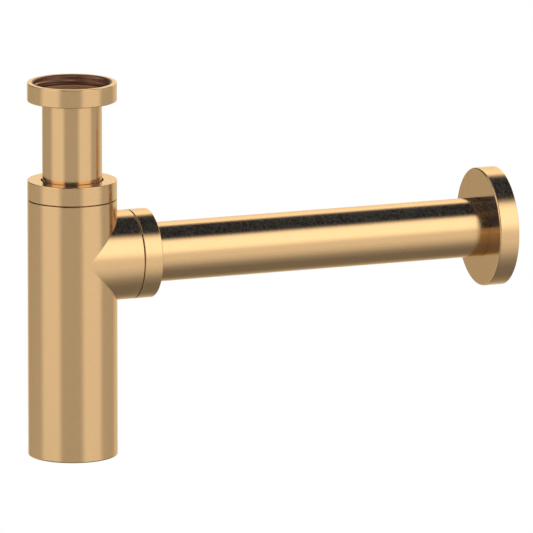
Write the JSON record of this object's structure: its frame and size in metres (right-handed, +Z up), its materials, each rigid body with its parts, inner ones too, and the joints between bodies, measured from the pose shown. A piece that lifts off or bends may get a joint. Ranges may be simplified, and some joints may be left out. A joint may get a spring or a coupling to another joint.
{
  "type": "basin trap",
  "caption": "Round bottle trap for a wash basin: threaded inlet nut, adjustable inlet tube, cylindrical bottle with a side branch, straight outlet tube and a wall rosette.",
  "frame": {"origin": "on the inlet axis, at the union nut's top face", "axes": "+Z up, out of the inlet mouth towards the basin; +X along the outlet tube to the wall"},
  "size_m": [0.274, 0.064, 0.203],
  "materials": {
    "brushed_gold": "brushed satin gold-bronze plating on brass",
    "black_rubber": "matte rubber",
    "tan_fibre": "vulcanised fibre",
    "white_plastic": "natural polyethylene"
  },
  "bodies": {
    "union_nut": {"inlet_union_nut": "brushed_gold"},
    "union_ring": {"inlet_slip_ring": "white_plastic"},
    "inlet": {"inlet_tube": "brushed_gold", "inlet_washer": "tan_fibre"},
    "top_seal": {"top_cone_seal": "black_rubber"},
    "bottle": {"bottle_body": "brushed_gold"},
    "top_ring": {"top_slip_ring": "white_plastic"},
    "top_nut": {"top_nut": "brushed_gold"},
    "outlet_ring": {"outlet_slip_ring": "white_plastic"},
    "outlet_nut": {"outlet_nut": "brushed_gold"},
    "outlet_seal": {"outlet_cone_seal": "black_rubber"},
    "outlet": {"outlet_tube": "brushed_gold"},
    "rosette_ring": {"rosette_seal_ring": "black_rubber"},
    "rosette": {"wall_rosette": "brushed_gold"},
    "plug_ring": {"clean_out_o_ring": "black_rubber"},
    "plug": {"clean_out_plug": "brushed_gold"}
  },
  "joints": [
    {"name": "union_lift", "type": "slide", "parent": "union_nut", "child": "union_ring", "axis": [0, 0, 1], "range_m": [0, 0.02]},
    {"name": "union_turn", "type": "hinge", "parent": "union_ring", "child": "inlet", "pos_m": [0, 0, -0.00775], "axis": [0, 0, 1], "continuous": true},
    {"name": "bottle_height", "type": "slide", "parent": "inlet", "child": "top_seal", "axis": [0, 0, 1], "range_m": [-0.015, 0.012]},
    {"name": "bottle_swivel", "type": "hinge", "parent": "top_seal", "child": "bottle", "pos_m": [0, 0, -0.0636], "axis": [0, 0, 1], "continuous": true},
    {"name": "top_nut_lift", "type": "slide", "parent": "bottle", "child": "top_ring", "axis": [0, 0, 1], "range_m": [0, 0.006]},
    {"name": "top_nut_turn", "type": "hinge", "parent": "top_ring", "child": "top_nut", "pos_m": [0, 0, -0.0636], "axis": [0, 0, 1], "range_deg": [0, 1440]},
    {"name": "outlet_nut_travel", "type": "slide", "parent": "bottle", "child": "outlet_ring", "axis": [1, 0, 0], "range_m": [0, 0.006]},
    {"name": "outlet_nut_turn", "type": "hinge", "parent": "outlet_ring", "child": "outlet_nut", "pos_m": [0.0324, 0, -0.096], "axis": [1, 0, 0], "range_deg": [0, 1440]},
    {"name": "plug_travel", "type": "slide", "parent": "bottle", "child": "plug_ring", "axis": [0, 0, -1], "range_m": [0, 0.0045]},
    {"name": "plug_turn", "type": "hinge", "parent": "plug_ring", "child": "plug", "pos_m": [0, 0, -0.203], "axis": [0, 0, -1], "range_deg": [0, 1080]},
    {"name": "outlet_turn", "type": "hinge", "parent": "bottle", "child": "outlet_seal", "pos_m": [0.0324, 0, -0.096], "axis": [1, 0, 0], "continuous": true},
    {"name": "outlet_slide", "type": "slide", "parent": "outlet_seal", "child": "outlet", "axis": [1, 0, 0], "range_m": [-0.006, 0.004]},
    {"name": "rosette_slide", "type": "slide", "parent": "outlet", "child": "rosette_ring", "axis": [1, 0, 0], "range_m": [-0.15, 0]},
    {"name": "rosette_turn", "type": "hinge", "parent": "rosette_ring", "child": "rosette", "pos_m": [0.234, 0, -0.096], "axis": [1, 0, 0], "continuous": true}
  ],
  "couplings": [
    {"joint": "top_nut_lift", "follows": "top_nut_turn", "m_per_rad": 0.00023873},
    {"joint": "outlet_nut_travel", "follows": "outlet_nut_turn", "m_per_rad": 0.00023873},
    {"joint": "plug_travel", "follows": "plug_turn", "m_per_rad": 0.00023873}
  ]
}
